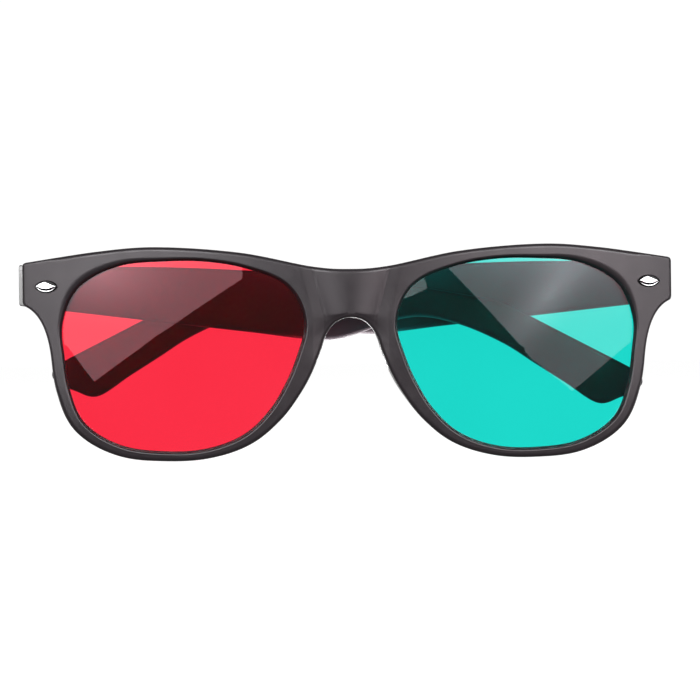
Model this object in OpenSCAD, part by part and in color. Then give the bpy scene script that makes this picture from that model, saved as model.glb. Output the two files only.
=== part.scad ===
// Two-colour 3D viewing glasses with a thick moulded front and folded temples, seen from the front along +Y.
// Origin: the nose saddle, the top of the arch under the bridge, on the front face of the bridge.
// X runs to the right in the front view, Y runs back towards the wearer and Z runs up.
// Left and right are those of the front view. All sizes are in millimetres and degrees.

/* [Front] */
// Width of a lens opening
lens_w = 53.1; // [49:0.1:56]
// Height of a lens opening
lens_h = 42; // [37:0.1:46]
// Distance between the two lens openings
bridge_w = 20.4; // [17:0.1:24]
// Height of the bridge over the nose saddle
bridge_h = 10.7; // [9:0.1:12.5]
// Height of the brow line over the nose saddle
brow_h = 16; // [15:0.1:18]
// Width of the rim above a lens
rim_top = 3.1; // [2.6:0.1:4]
// Width of the rim below a lens
rim_bottom = 2.15; // [1.9:0.05:3.5]
// Width of the rim on the temple side of a lens
rim_side = 3; // [2.5:0.1:3.8]
// Width of the rim on the nose side of a lens
rim_nose = 4.4; // [3.4:0.1:5]
// Thickness of the rims
front_t = 4; // [3.6:0.1:5]
// Radius of the wrap of the front face round a vertical axis
wrap_r = 240; // [200:1:400]
// Rounding of the outer edges
edge_r = 0.9; // [0.4:0.1:1]
// Forward crown of the bridge
bridge_crown = 0.7; // [0.2:0.1:1.2]

/* [End pieces] */
// Width of an end piece beside its lens opening
end_w = 9.1; // [8.4:0.05:10]
// Height of the top corner of an end piece over the nose saddle
end_top = 12.9; // [12:0.1:14]
// Height of the outer edge of an end piece
end_h = 9.4; // [8.8:0.1:11]
// Thickness of an end piece at its outer edge
end_t = 4.2; // [3.6:0.1:5.5]
// Rounding of the outer edges of an end piece
end_edge_r = 0.5; // [0.3:0.05:0.6]
// Rounding of the upper and lower corners of an end piece
corner_r = 0.9; // [0.9:0.1:2]
// Fall of the underside of an end piece towards the rim
notch_fall = 1.9; // [1:0.1:3]

/* [Nose pads] */
// How far a moulded nose pad stands out behind the rim
pad_d = 3.4; // [2:0.1:4.5]
// Half the angle that a nose pad takes up round the lens
pad_half_angle = 24; // [16:1:30]

/* [Lenses] */
// Thickness of a lens
lens_t = 1.2; // [1:0.1:1.4]
// Depth of the lens behind the front face
lens_set = 1.6; // [1.3:0.1:1.8]
// Depth of the lens groove in the rim
groove_d = 0.7; // [0.5:0.1:1]
// Clearance of a lens in its groove
lens_gap = 0.05; // [0.03:0.01:0.1]
// Flare of the rim's inner wall from the lens to the front face
rim_flare = 0.75; // [0.5:0.05:0.85]

/* [Studs] */
// Length of a stud
stud_l = 5.3; // [4:0.1:6]
// Height of a stud
stud_h = 2.8; // [2.2:0.1:3.2]
// How far a stud stands out of the front face
stud_out = 0.7; // [0.5:0.1:1]
// Distance of a stud from the outer edge of its end piece
stud_in = 5.35; // [4.8:0.05:6]
// Diameter of the pin of a stud
stud_pin_d = 1.4; // [1:0.1:1.6]
// Length of the pin of a stud
stud_pin_l = 2; // [1.5:0.1:2.5]

/* [Hinges] */
// Height of the hinge centre over the nose saddle
hinge_z = 7.6; // [7.2:0.1:8.2]
// Distance of the hinge axis behind the end piece
hinge_back = 4.6; // [4:0.1:5.4]
// Diameter of the hinge barrel
barrel_d = 3; // [2.6:0.1:3.2]
// Height of the hinge barrel
barrel_h = 7.2; // [6:0.1:7.6]
// Diameter of the screw shank
screw_d = 1.4; // [1.2:0.05:1.6]
// Diameter of the screw head
head_d = 2.6; // [2.2:0.1:2.8]
// Height of the screw head
head_h = 0.6; // [0.4:0.05:0.8]
// Thickness of the hinge leaves
leaf_t = 0.8; // [0.6:0.05:1]
// Width of the front leaf along the end piece
front_leaf_w = 5.2; // [4.6:0.1:5.6]
// Length of the hinge tongue in the temple, from the hinge axis
temple_leaf_l = 12; // [10:0.5:16]
// Height of the hinge tongue in the temple
temple_leaf_h = 5; // [4:0.1:6]
// Diameter of the rivet shanks
rivet_d = 1.2; // [1:0.1:1.4]
// Diameter of the rivet heads
rivet_head_d = 2; // [1.7:0.1:2.2]
// Radial play of the screw in the barrel
pin_play = 0.04; // [0.02:0.01:0.08]
// Play between the knuckles of a hinge
knuckle_play = 0.1; // [0.05:0.01:0.2]

/* [Temples] */
// Distance from the hinge axis to the tip of a temple
temple_reach = 135.65; // [130:0.05:142]
// Thickness of a temple
temple_t = 3; // [2.6:0.1:3.1]
// Thickness of the tail at the tip
tail_t = 2.6; // [2:0.1:2.7]
// Height of a temple at the hinge
temple_end_h = 9.2; // [8.4:0.1:10]
// Distance from the hinge to the widest place
wide_at = 63.25; // [58:0.25:68]
// Height of a temple at its widest place
wide_h = 14.6; // [12:0.1:16]
// Distance from the hinge to the waist before the tail
waist_at = 86.25; // [82:0.25:90]
// Height of a temple at its waist
waist_h = 6.6; // [5.5:0.1:9]
// Distance from the hinge to the bend of the tail
bend_at = 104.25; // [100:0.25:108]
// Angle by which the tail turns down
tail_angle = 22; // [14:1:28]
// Upright width of the tail at its low point
tail_w = 11.9; // [9:0.1:13]
// Fall of the left temple from the hinge
left_fall_angle = 6.9; // [5.5:0.1:8]
// Fall of the right temple from the hinge
right_fall_angle = 5.7; // [5:0.1:7]
// Opening angle of the temples to the front
open_angle = 95; // [92:0.5:97]
// Clearance between the two folded temples
stack_gap = 0.3; // [0.2:0.05:0.6]
// Clearance between a temple and the hinge axis plane
face_gap = 0.3; // [0.2:0.05:0.5]
// Clearance between an open temple and its end piece
butt_gap = 0.05; // [0.02:0.01:0.2]

/* [Hidden] */
$fn = 48;

// Reach of cutting tools past the face that they cut
over = 1;
// Small clearance of pressed pins and seated plates
seat_gap = 0.02;

// Radius of the lens opening every 20 degrees from the temple side, as a share of the ellipse
// that has the opening's width and height
lens_shape = [
    0.995, 1.06, 1.163, 1.095, 1.012, 1.006, 1.052, 1.12, 1.064,
    0.956, 0.908, 0.923, 0.969, 0.99, 1.012, 1.067, 1.073, 1.005
];
shape_step = 360 / len(lens_shape);

lens_cx = (bridge_w + lens_w) / 2;
lens_cz = brow_h - rim_top - lens_h / 2;
half_w = bridge_w / 2 + lens_w + end_w;

// Smooth curves and steps

function mix(a, b, t) = a + (b - a) * t;
function unit(v) = v / norm(v);
function clamp01(t) = max(0, min(1, t));
function smooth(t) = let(c = clamp01(t)) c * c * (3 - 2 * c);

// Catmull-Rom blend of four neighbours
function blend(a, b, c, d, t) =
    0.5 * (2 * b + (c - a) * t + (2 * a - 5 * b + 4 * c - d) * t * t + (3 * b - a - 3 * c + d) * t * t * t);

// Smooth open curve through the points, with s counted in points
function curve(points, s, first = undef) =
    let(
        n = len(points),
        i = min(floor(s), n - 2),
        before = i > 0 ? points[i - 1] : is_undef(first) ? 2 * points[0] - points[1] : first,
        after = i < n - 2 ? points[i + 2] : 2 * points[n - 1] - points[n - 2]
    )
    blend(before, points[i], points[i + 1], after, s - i);

function bezier(a, b, c, t) = mix(mix(a, b, t), mix(b, c, t), t);

// Depth of the front's surfaces, d counted inwards from the front face

function wrap_y(x, d) = wrap_r - sqrt(pow(wrap_r - d, 2) - x * x);

seat_y = wrap_y(half_w, 0) + end_t;

// Lens opening of the right half

function shape_at(phi) =
    let(
        n = len(lens_shape),
        s = (phi - 360 * floor(phi / 360)) / shape_step,
        i = floor(s),
        near = [for (k = [-1 : 2]) lens_shape[(i + n + k) % n]]
    )
    blend(near[0], near[1], near[2], near[3], s - i);

function opening(phi) =
    [lens_cx, lens_cz] + shape_at(phi) * [lens_w / 2 * cos(phi), lens_h / 2 * sin(phi)];

function opening_out(phi) =
    let(t = unit(opening(phi + 0.5) - opening(phi - 0.5)))
    [t.y, -t.x];

// Direction from the lens centre to a point, in the measure that turns the ellipse into a circle
function direction_of(p) = atan2((p.y - lens_cz) / lens_h, (p.x - lens_cx) / lens_w);

// Outer outline of the right half, clockwise from the middle of the bridge

// Places on the brow line as shares of the bridge or lens width, with their rise or fall
saddle_share = 0.43;
saddle_rise = 0.7;
inner_share = 0.235;
inner_fall = 1.45;
brow_share = 0.1;
outer_share = 0.35;
outer_fall = 0.75;

top_points = [
    [0, bridge_h],
    [bridge_w * saddle_share, bridge_h + saddle_rise],
    [lens_cx - lens_w * inner_share, brow_h - inner_fall],
    [lens_cx + lens_w * brow_share, brow_h],
    [lens_cx + lens_w * outer_share, brow_h - outer_fall],
    [half_w, end_top]
];
top_first = [-top_points[1].x, top_points[1].y];
top_last = len(top_points) - 1;
corner_share = corner_r / (half_w - top_points[top_last - 1].x);
top_steps = 18;

function top_edge(s) = curve(top_points, s, top_first);

// Directions where the free rim starts below the end piece and ends at the arch
notch_angle = 0;
arch_angle = -190;
rim_steps = 40;
notch_steps = 6;
arch_steps = 6;
corner_steps = 3;
middle_steps = 4;

// Direction of the narrowest rim and the angles over which it widens to both sides
low_angle = -90;
side_widen_angle = 70;
nose_widen_angle = 110;

function rim_width(phi) =
    phi > low_angle
        ? mix(rim_bottom, rim_side, smooth((phi - low_angle) / side_widen_angle))
        : mix(rim_bottom, rim_nose, smooth((low_angle - phi) / nose_widen_angle));

function rim_edge(phi) = opening(phi) + rim_width(phi) * opening_out(phi);

end_bottom = [half_w, end_top - end_h];
notch_end = rim_edge(notch_angle);
notch_run = unit(notch_end - rim_edge(notch_angle - 1));
notch_mid = notch_end + notch_run * (end_bottom.y - notch_fall - notch_end.y) / notch_run.y;
arch_start = rim_edge(arch_angle);
arch_run = unit(arch_start - rim_edge(arch_angle + 1));
arch_mid = [arch_start.x - arch_run.x * arch_start.y / arch_run.y, 0];

corner_start = top_edge(top_last - corner_share);
corner_end = [half_w, end_top - corner_r];
low_corner_start = end_bottom + [0, corner_r];
low_corner_way = corner_r / (2 * norm(notch_mid - end_bottom));

function notch(t) = bezier(end_bottom, notch_mid, notch_end, t);

outline = concat(
    [for (i = [0 : top_steps - 1]) top_edge((top_last - corner_share) * i / top_steps)],
    [for (i = [0 : corner_steps]) bezier(corner_start, [half_w, end_top], corner_end, i / corner_steps)],
    [for (t = [0.35, 0.7]) mix(corner_end, low_corner_start, t)],
    [for (i = [0 : corner_steps - 1])
        bezier(low_corner_start, end_bottom, notch(low_corner_way), i / corner_steps)],
    [for (i = [0 : notch_steps - 1]) notch(mix(low_corner_way, 1, i / notch_steps))],
    [for (i = [0 : rim_steps - 1]) rim_edge(mix(notch_angle, arch_angle, i / rim_steps))],
    [for (i = [0 : arch_steps]) bezier(arch_start, arch_mid, [0, 0], i / arch_steps)],
    [for (i = [1 : middle_steps - 1]) [0, bridge_h * i / middle_steps]]
);
stations = len(outline);
arch_station = stations - middle_steps;
free_station = arch_station - arch_steps;

// Direction of a station round the lens, spread evenly over the arch and the bridge
function direction(i) =
    i < free_station
        ? direction_of(outline[i])
        : mix(
            direction_of(outline[free_station]),
            direction_of(outline[0]),
            (i - free_station) / (stations - free_station)
        );

function in_middle(i) = i > arch_station;
function on_middle(i) = i == 0 || i >= arch_station;

function edge_in(i) =
    let(t = i == 0 ? [1, 0] : i >= arch_station ? [-1, 0] : unit(outline[i + 1] - outline[i - 1]))
    [t.y, -t.x];

// Relief of the front face at the bridge and thickness towards the back

// Distance of the bridge creases from the middle, their depth and the width over which they fade
crease_top = 8.1;
crease_bottom = 5.4;
crease_d = 0.3;
crease_fade = 3;
// Start of the flat hinge seat beside the lens and its run-out inwards and downwards
block_in = 1.2;
block_fade = 1.6;
block_drop = 4;

function crease_x(z) = mix(crease_bottom, crease_top, clamp01(z / bridge_h));

function relief(p) =
    let(c = crease_x(p.y))
    p.x < c
        ? crease_d - (crease_d + bridge_crown) * (1 - pow(p.x / c, 2))
        : crease_d * (1 - clamp01((p.x - c) / crease_fade));

// Share of the flat hinge seat behind the end piece
function seat_share(p) =
    smooth((p.x - lens_cx - lens_w / 2 - block_in + block_fade) / block_fade)
    * smooth((p.y - end_bottom.y + block_drop) / block_drop);

// Direction of the middle of a nose pad and the share of its height at its inner side
pad_angle = 193;
pad_inner_share = 0.6;

function pad_share(phi) =
    let(a = phi < 0 ? phi + 360 : phi)
    abs(a - pad_angle) < pad_half_angle ? pow(cos(90 * (a - pad_angle) / pad_half_angle), 2) : 0;

function front_y(p) = wrap_y(p.x, relief(p));

function back_y(p, pad) = mix(wrap_y(p.x, front_t), seat_y, seat_share(p)) + pad * pad_d;

// Section of the rim at one station: points from the lens groove over the front to the back

// Small rounding of the inner front edge, and the uneven part and widest direction of the flare
flare_edge = 0.3;
flare_swing_share = 0.55;
flare_angle = 50;
// Shares of the way over the face for its two middle points, and of the edge rounding at its shoulder
face_share_a = 0.35;
face_share_b = 0.7;
shoulder_share = 0.3;
lens_back = lens_set + lens_t;

// Distance over which the edge rounding changes from the rim to the end piece
edge_fade = 4;

function at(p, y) = [p.x, y, p.y];

function edge_at(p) = mix(edge_r, end_edge_r, smooth((p.x - lens_cx - lens_w / 2) / edge_fade));

function section(i) =
    let(
        o = outline[i],
        phi = direction(i),
        e = opening(phi),
        n = opening_out(phi),
        m = edge_in(i),
        pad = pad_share(phi),
        flare = rim_flare * (1 + flare_swing_share * cos(phi - flare_angle)),
        cut = in_middle(i) ? 0 : edge_at(o),
        a = e + n * (flare + flare_edge),
        b = o + m * cut,
        c = o + m * cut * shoulder_share,
        g = e + n * groove_d,
        f = e + n * flare,
        fa = mix(a, b, face_share_a),
        fb = mix(a, b, face_share_b),
        back_in = e + n * edge_r
    )
    [
        at(e, wrap_y(e.x, lens_set - lens_gap)),
        at(f, front_y(f) + flare_edge),
        at(a, front_y(a)),
        at(fa, front_y(fa)),
        at(fb, front_y(fb)),
        at(b, front_y(b)),
        at(c, front_y(c) + cut * shoulder_share),
        at(o, front_y(o) + cut),
        at(o, back_y(o, pad) - cut),
        at(c, back_y(c, pad) - cut * shoulder_share),
        at(b, back_y(b, pad)),
        at(fb, back_y(fb, pad)),
        at(fa, back_y(fa, pad * pad_inner_share)),
        at(back_in, back_y(back_in, 0)),
        at(e, back_y(e, 0) - edge_r / 2),
        at(e, wrap_y(e.x, lens_back + lens_gap)),
        at(g, wrap_y(g.x, lens_back + lens_gap)),
        at(g, wrap_y(g.x, lens_set - lens_gap))
    ];

sections = [for (i = [0 : stations - 1]) section(i)];
ring = len(sections[0]);
half_points = [for (s = sections) for (p = s) p];
first_outer = 5;
last_outer = 10;

// Corner number of point k at station i on one side: the two halves share the middle of the bridge
function corner(side, i, k) =
    let(
        j = i % stations,
        c = k % ring,
        outer = c >= first_outer && c <= last_outer,
        kept = in_middle(j) && outer ? (c < (first_outer + last_outer) / 2 ? first_outer : last_outer) : c
    )
    j * ring + kept + (side < 0 && !(on_middle(j) && outer) ? len(half_points) : 0);

function is_middle(v) =
    let(w = v % len(half_points), k = w % ring)
    on_middle(floor(w / ring)) && k >= first_outer && k <= last_outer;

function real_faces(faces) = [
    for (f = faces)
        if (f[0] != f[1] && f[1] != f[2] && f[2] != f[0])
            if (!(is_middle(f[0]) && is_middle(f[1]) && is_middle(f[2])))
                f
];

function half_faces(side) = real_faces([
    for (i = [0 : stations - 1])
        for (k = [0 : ring - 1])
            let(
                a = corner(side, i, k),
                b = corner(side, i + 1, k),
                c = corner(side, i + 1, k + 1),
                d = corner(side, i, k + 1)
            )
            each side > 0 ? [[a, c, b], [a, d, c]] : [[a, b, c], [a, c, d]]
]);

// Hinge and temple placing

hinge_x = half_w - temple_t - face_gap;
hinge_y = seat_y + hinge_back;
barrel_r = barrel_d / 2;
pocket_gap = 0.3;
knuckle_h = (barrel_h - 2 * knuckle_play) / 3;
fold_lean = asin((temple_t + stack_gap) / (2 * hinge_x));
splay = open_angle - 90;

// Moves a temple-side shape from the hinge frame to its folded place; side is -1 or 1
module folded(side) {
    lean = side < 0 ? fold_lean : -fold_lean;
    translate([side * hinge_x, hinge_y, hinge_z])
        rotate([0, 0, side * (90 + lean)])
            mirror([side < 0 ? 1 : 0, 0, 0])
                children();
}

// Moves a front-side hinge shape to its place; side is -1 or 1
module at_hinge(side) {
    mirror([side < 0 ? 1 : 0, 0, 0])
        translate([hinge_x, hinge_y, hinge_z])
            children();
}

module pin(d, h) {
    cylinder(d = d, h = h, center = true);
}

// Front frame

// Distance of the rivets from the middle and from the inner edge of the leaf, and their length in the plastic
rivet_rise = 2.2;
rivet_in = 1.6;
rivet_l = 2.2;
front_rivet_x = rivet_in - front_leaf_w;

// Places of the two rivets of a front leaf, in the front hinge frame
module at_front_rivets() {
    for (z = [-rivet_rise, rivet_rise])
        translate([front_rivet_x, -hinge_back, z])
            rotate([90, 0, 0])
                children();
}

// Stud frame: on the front face, square to it, with Z out of the face; side is -1 or 1
stud_x = half_w - stud_in;
stud_turn = asin(stud_x / wrap_r);

module at_stud(side) {
    mirror([side < 0 ? 1 : 0, 0, 0])
        translate([stud_x, wrap_y(stud_x, 0), hinge_z])
            rotate([0, 0, stud_turn])
                rotate([90, 0, 0])
                    children();
}

module front_frame() {
    mirrored = [for (p = half_points) [-p.x, p.y, p.z]];
    color([0.33, 0.31, 0.33])
        difference() {
            polyhedron(concat(half_points, mirrored), concat(half_faces(1), half_faces(-1)));
            for (side = [-1, 1]) {
                at_stud(side)
                    translate([0, 0, -stud_pin_l - seat_gap])
                        cylinder(d = stud_pin_d + 2 * seat_gap, h = stud_pin_l + over);
                at_hinge(side)
                    at_front_rivets()
                        translate([0, 0, -over])
                            cylinder(d = rivet_d + 2 * seat_gap, h = rivet_l + seat_gap + over);
            }
        }
}

// Lenses

module lens(side) {
    outline_points = [
        for (i = [0 : stations - 1])
            let(phi = direction(i))
            opening(phi) + (groove_d - lens_gap) * opening_out(phi)
    ];
    depth = 2 * wrap_y(half_w, 0) + lens_back;
    intersection() {
        mirror([side < 0 ? 1 : 0, 0, 0])
            translate([0, depth, 0])
                rotate([90, 0, 0])
                    linear_extrude(2 * depth)
                        polygon(outline_points);
        translate([0, wrap_r, 0])
            difference() {
                cylinder(r = wrap_r - lens_set, h = 4 * lens_h, center = true);
                cylinder(r = wrap_r - lens_back, h = 4 * lens_h + over, center = true);
            }
    }
}

module red_lens() {
    color([0.95, 0.1, 0.18, 0.6])
        lens(-1);
}

module cyan_lens() {
    color([0.05, 0.75, 0.7, 0.6])
        lens(1);
}

// Studs: an almond with a domed face on a pin

// Height of the edge of a stud at its tips
stud_edge = 0.15;

module stud(side) {
    dome_h = stud_out - stud_edge;
    arc_r = (pow(stud_l / 2, 2) + pow(stud_h / 2, 2)) / stud_h;
    dome_r = (pow(stud_l / 2, 2) + pow(dome_h, 2)) / (2 * dome_h);
    color("silver")
        at_stud(side)
            union() {
                intersection() {
                    translate([0, arc_r - stud_h / 2, seat_gap])
                        cylinder(r = arc_r, h = stud_out, $fn = 96);
                    translate([0, stud_h / 2 - arc_r, seat_gap])
                        cylinder(r = arc_r, h = stud_out, $fn = 96);
                    translate([0, 0, seat_gap + stud_out - dome_r])
                        sphere(r = dome_r, $fn = 96);
                }
                translate([0, 0, -stud_pin_l])
                    cylinder(d = stud_pin_d, h = stud_pin_l + stud_out / 2);
            }
}

module left_stud() {
    stud(-1);
}

module right_stud() {
    stud(1);
}

// Front leaf: a plate on the end piece with two arms that carry the outer knuckles

arm_gap = 0.05;

module front_leaf(side) {
    outer_z = knuckle_h + knuckle_play;
    color([0.72, 0.72, 0.74])
        at_hinge(side)
            difference() {
                union() {
                    translate([-front_leaf_w, -hinge_back + seat_gap, -barrel_h / 2])
                        cube([front_leaf_w - arm_gap, leaf_t, barrel_h]);
                    for (z = [-outer_z, outer_z])
                        translate([0, 0, z]) {
                            pin(barrel_d, knuckle_h);
                            translate([-barrel_r, -hinge_back + leaf_t / 2, -knuckle_h / 2])
                                cube([barrel_r - arm_gap, hinge_back - leaf_t / 2, knuckle_h]);
                        }
                }
                pin(screw_d + 2 * pin_play, barrel_h + over);
                at_front_rivets()
                    pin(rivet_d + 2 * seat_gap, 2 * leaf_t + over);
            }
}

module left_front_hinge_leaf() {
    front_leaf(-1);
}

module right_front_hinge_leaf() {
    front_leaf(1);
}

// Rivets: a shank with a domed head

rivet_dome = 0.35;

module rivet(grip) {
    dome_r = (pow(rivet_head_d / 2, 2) + pow(rivet_dome, 2)) / (2 * rivet_dome);
    translate([0, 0, -grip])
        union() {
            cylinder(d = rivet_d, h = grip + rivet_l);
            translate([0, 0, -seat_gap])
                intersection() {
                    translate([0, 0, dome_r - rivet_dome])
                        sphere(r = dome_r, $fn = 64);
                    translate([0, 0, -rivet_dome])
                        cylinder(d = rivet_head_d + over, h = rivet_dome);
                }
            translate([0, 0, -rivet_dome / 2])
                cylinder(d = rivet_d, h = rivet_dome);
        }
}

module front_rivets(side) {
    color("silver")
        at_hinge(side)
            at_front_rivets()
                rivet(leaf_t + seat_gap);
}

module left_front_hinge_rivets() {
    front_rivets(-1);
}

module right_front_hinge_rivets() {
    front_rivets(1);
}

// Hinge screw: a shank through the barrel with a slotted head on top

slot_w = 0.45;
slot_d = 0.3;

module hinge_screw(side) {
    color("silver")
        at_hinge(side)
            difference() {
                union() {
                    translate([0, 0, -barrel_h / 2])
                        cylinder(d = screw_d, h = barrel_h + head_h / 2);
                    translate([0, 0, barrel_h / 2 + seat_gap])
                        cylinder(d = head_d, h = head_h);
                }
                translate([-head_d, -slot_w / 2, barrel_h / 2 + seat_gap + head_h - slot_d])
                    cube([2 * head_d, slot_w, slot_d + over]);
            }
}

module left_hinge_screw() {
    hinge_screw(-1);
}

module right_hinge_screw() {
    hinge_screw(1);
}

// Temple leaf: the middle knuckle with a tongue that is sunk into the end of the temple

// Start of the full height of the tongue, and its place in the temple's thickness, level with the barrel
leaf_start = 2.1;
tongue_x = barrel_r - leaf_t;

// Neck and tongue, or the slot for them with a clearance
module tongue(gap) {
    translate([tongue_x - gap, 0, -knuckle_h / 2 - gap])
        cube([leaf_t + 2 * gap, leaf_start + over, knuckle_h + 2 * gap]);
    translate([tongue_x - gap, leaf_start - gap, -temple_leaf_h / 2 - gap])
        cube([leaf_t + 2 * gap, temple_leaf_l - leaf_start + 2 * gap, temple_leaf_h + 2 * gap]);
}

module temple_leaf(side) {
    color([0.72, 0.72, 0.74])
        folded(side)
            difference() {
                union() {
                    pin(barrel_d, knuckle_h);
                    tongue(0);
                }
                pin(screw_d + 2 * pin_play, barrel_h);
            }
}

module left_temple_hinge_leaf() {
    temple_leaf(-1);
}

module right_temple_hinge_leaf() {
    temple_leaf(1);
}

// Temple: rows of distance from the hinge axis, top edge and bottom edge before the fall

// Edges at the widest place, the waist and the bend, over the hinge line
wide_low = 4.8;
wide_top = wide_h - wide_low;
waist_drop = 0.2;
waist_top = wide_top - waist_drop;
waist_low = waist_top - waist_h;
bend_top = 8.3;
bend_low = -1;
// Length of the slanted end of the tail, its blunt height and the place of its tip
tip_l = 10.4;
tip_h = 0.3;
tip_share = 0.22;
tail_low_at = temple_reach - tip_l;

// Top edge of the tail, which runs down in a straight line
function tail_top(u) = bend_top - (u - bend_at) * tan(tail_angle);

tail_low = tail_top(tail_low_at) - tail_w;
tip_z = mix(tail_top(temple_reach), tail_low, tip_share);

// One row between the butt end and the widest place, at shares of the way and of the rise
function front_row(way, rise) = [
    wide_at * way,
    mix(temple_end_h / 2, wide_top, rise),
    -mix(temple_end_h / 2, wide_low, rise)
];

// One row between the bend and the low point of the tail
function tail_row(way) =
    let(u = mix(bend_at, tail_low_at, way))
    [u, tail_top(u), mix(bend_low, tail_low, way)];

// One row on the slanted end, at shares of the way, of the closing top and of the rising bottom
function tip_row(way, close, rise) =
    let(u = mix(tail_low_at, temple_reach, way))
    [u, mix(tail_top(u), tip_z, close), mix(tail_low, tip_z, rise)];

temple_rows = [
    [-hinge_back, temple_end_h / 2, -temple_end_h / 2],
    front_row(0.16, 0.24),
    front_row(0.45, 0.61),
    front_row(0.75, 0.87),
    front_row(1, 1),
    [mix(wide_at, waist_at, 0.36), wide_top, mix(-wide_low, waist_low, 0.3)],
    [mix(wide_at, waist_at, 0.66), wide_top, mix(-wide_low, waist_low, 0.74)],
    [waist_at, waist_top, waist_low],
    [mix(waist_at, bend_at, 0.5), mix(waist_top, bend_top, 0.4), mix(waist_low, bend_low, 0.25)],
    [bend_at, bend_top, bend_low],
    tail_row(0.33),
    tail_row(0.65),
    tail_row(1),
    tip_row(0.5, 0, 0.3),
    tip_row(0.83, 0.06, 0.62),
    tip_row(0.97, 0.35, 0.84),
    [temple_reach, tip_z + tip_h / 2, tip_z - tip_h / 2]
];
temple_steps = 48;
// Rounding of the long edges, its largest share of the section, and rounding of the butt end
temple_round = 1;
round_share = 0.45;
butt_round = 0.4;

// Edge of the butt end, mitred to lie on the end piece when the temple is open
function butt_u(w) = (w * sin(splay) - hinge_back + butt_gap) / cos(splay);

function temple_section(s, fall) =
    let(
        row = curve(temple_rows, s),
        u = row[0],
        t = mix(temple_t, tail_t, smooth((u - waist_at) / (temple_reach - waist_at))),
        h = row[1] - row[2],
        inset = s == 0 ? butt_round : 0,
        r = min(temple_round, t * round_share, h * round_share),
        q = r * shoulder_share,
        i = face_gap + inset,
        o = face_gap + t - inset,
        b = row[2] + inset,
        a = row[1] - inset,
        ring_points = [
            [i, b + r], [i + q, b + q], [i + r, b],
            [o - r, b], [o - q, b + q], [o, b + r],
            [o, a - r], [o - q, a - q], [o - r, a],
            [i + r, a], [i + q, a - q], [i, a - r]
        ]
    )
    [for (p = ring_points)
        let(v = u < 0 ? butt_u(p.x) * u / -hinge_back : u)
        [p.x, v, p.y - v * tan(fall)]];

module temple_body(fall) {
    last = len(temple_rows) - 1;
    rings = [for (i = [0 : temple_steps]) temple_section(last * i / temple_steps, fall)];
    n = len(rings[0]);
    sides = [
        for (i = [0 : temple_steps - 1])
            for (k = [0 : n - 1])
                let(a = i * n + k, b = i * n + (k + 1) % n, c = b + n, d = a + n)
                each [[a, b, c], [a, c, d]]
    ];
    start_cap = [for (k = [n - 1 : -1 : 0]) k];
    end_cap = [for (k = [0 : n - 1]) temple_steps * n + k];
    polyhedron([for (r = rings) for (p = r) p], concat(sides, [start_cap, end_cap]));
}

module temple(side) {
    color([0.27, 0.26, 0.28])
        folded(side)
            difference() {
                temple_body(side < 0 ? left_fall_angle : right_fall_angle);
                pin(barrel_d + 2 * pocket_gap, 4 * barrel_h);
                tongue(seat_gap);
            }
}

module left_temple() {
    temple(-1);
}

module right_temple() {
    temple(1);
}

front_frame();
red_lens();
cyan_lens();
left_stud();
right_stud();
left_front_hinge_leaf();
right_front_hinge_leaf();
left_front_hinge_rivets();
right_front_hinge_rivets();
left_hinge_screw();
right_hinge_screw();
left_temple();
right_temple();
left_temple_hinge_leaf();
right_temple_hinge_leaf();
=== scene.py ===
"""Two-colour 3D viewing glasses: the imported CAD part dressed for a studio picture."""

import math

import bmesh
import bpy
import numpy as np
from mathutils import Matrix, Vector


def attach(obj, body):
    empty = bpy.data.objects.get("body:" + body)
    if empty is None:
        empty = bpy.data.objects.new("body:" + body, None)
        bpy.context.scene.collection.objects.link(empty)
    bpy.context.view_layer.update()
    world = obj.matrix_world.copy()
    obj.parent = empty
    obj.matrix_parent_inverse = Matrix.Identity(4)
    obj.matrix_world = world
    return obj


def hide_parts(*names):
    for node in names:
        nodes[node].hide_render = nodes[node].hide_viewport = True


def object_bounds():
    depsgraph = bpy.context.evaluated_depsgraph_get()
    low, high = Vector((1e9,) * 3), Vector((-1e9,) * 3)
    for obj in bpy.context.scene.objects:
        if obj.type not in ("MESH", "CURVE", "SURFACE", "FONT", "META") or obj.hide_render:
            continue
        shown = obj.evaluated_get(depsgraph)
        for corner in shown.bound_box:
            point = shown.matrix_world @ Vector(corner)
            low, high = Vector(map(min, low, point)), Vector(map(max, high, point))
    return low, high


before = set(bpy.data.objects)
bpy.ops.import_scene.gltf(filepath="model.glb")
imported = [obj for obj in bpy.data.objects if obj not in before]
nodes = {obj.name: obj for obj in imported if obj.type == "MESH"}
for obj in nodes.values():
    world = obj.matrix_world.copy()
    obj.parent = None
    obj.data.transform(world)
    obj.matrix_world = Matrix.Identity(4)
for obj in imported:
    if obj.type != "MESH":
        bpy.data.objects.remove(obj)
cad_low, cad_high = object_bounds()

MM = 0.001

# Sizes of the part in millimetres and degrees. They are the CAD source's, apart from the outline of the lens
# openings, the rims beside the nose and the studs' length, which follow the photograph a little closer
LENS_W, LENS_H = 53.1, 42.0
BRIDGE_W, BRIDGE_H, BROW_H = 20.4, 10.7, 16.0
RIM_TOP, RIM_BOTTOM, RIM_SIDE, RIM_NOSE = 3.1, 2.15, 3.0, 4.7
FRONT_T, WRAP_R, EDGE_R, BRIDGE_CROWN = 4.0, 240.0, 0.9, 0.7
END_W, END_TOP, END_H, END_T, END_EDGE_R, CORNER_R, NOTCH_FALL = 9.1, 12.9, 9.4, 4.2, 0.5, 0.9, 1.9
PAD_D, PAD_HALF_ANGLE, PAD_ANGLE = 3.4, 24.0, 193.0
LENS_T, LENS_SET, GROOVE_D, LENS_GAP = 1.2, 1.6, 0.7, 0.05
STUD_L, STUD_H, STUD_IN = 5.5, 2.8, 5.35
HINGE_Z, HINGE_BACK, BARREL_D, BARREL_H = 7.6, 4.6, 3.0, 7.2
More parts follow.
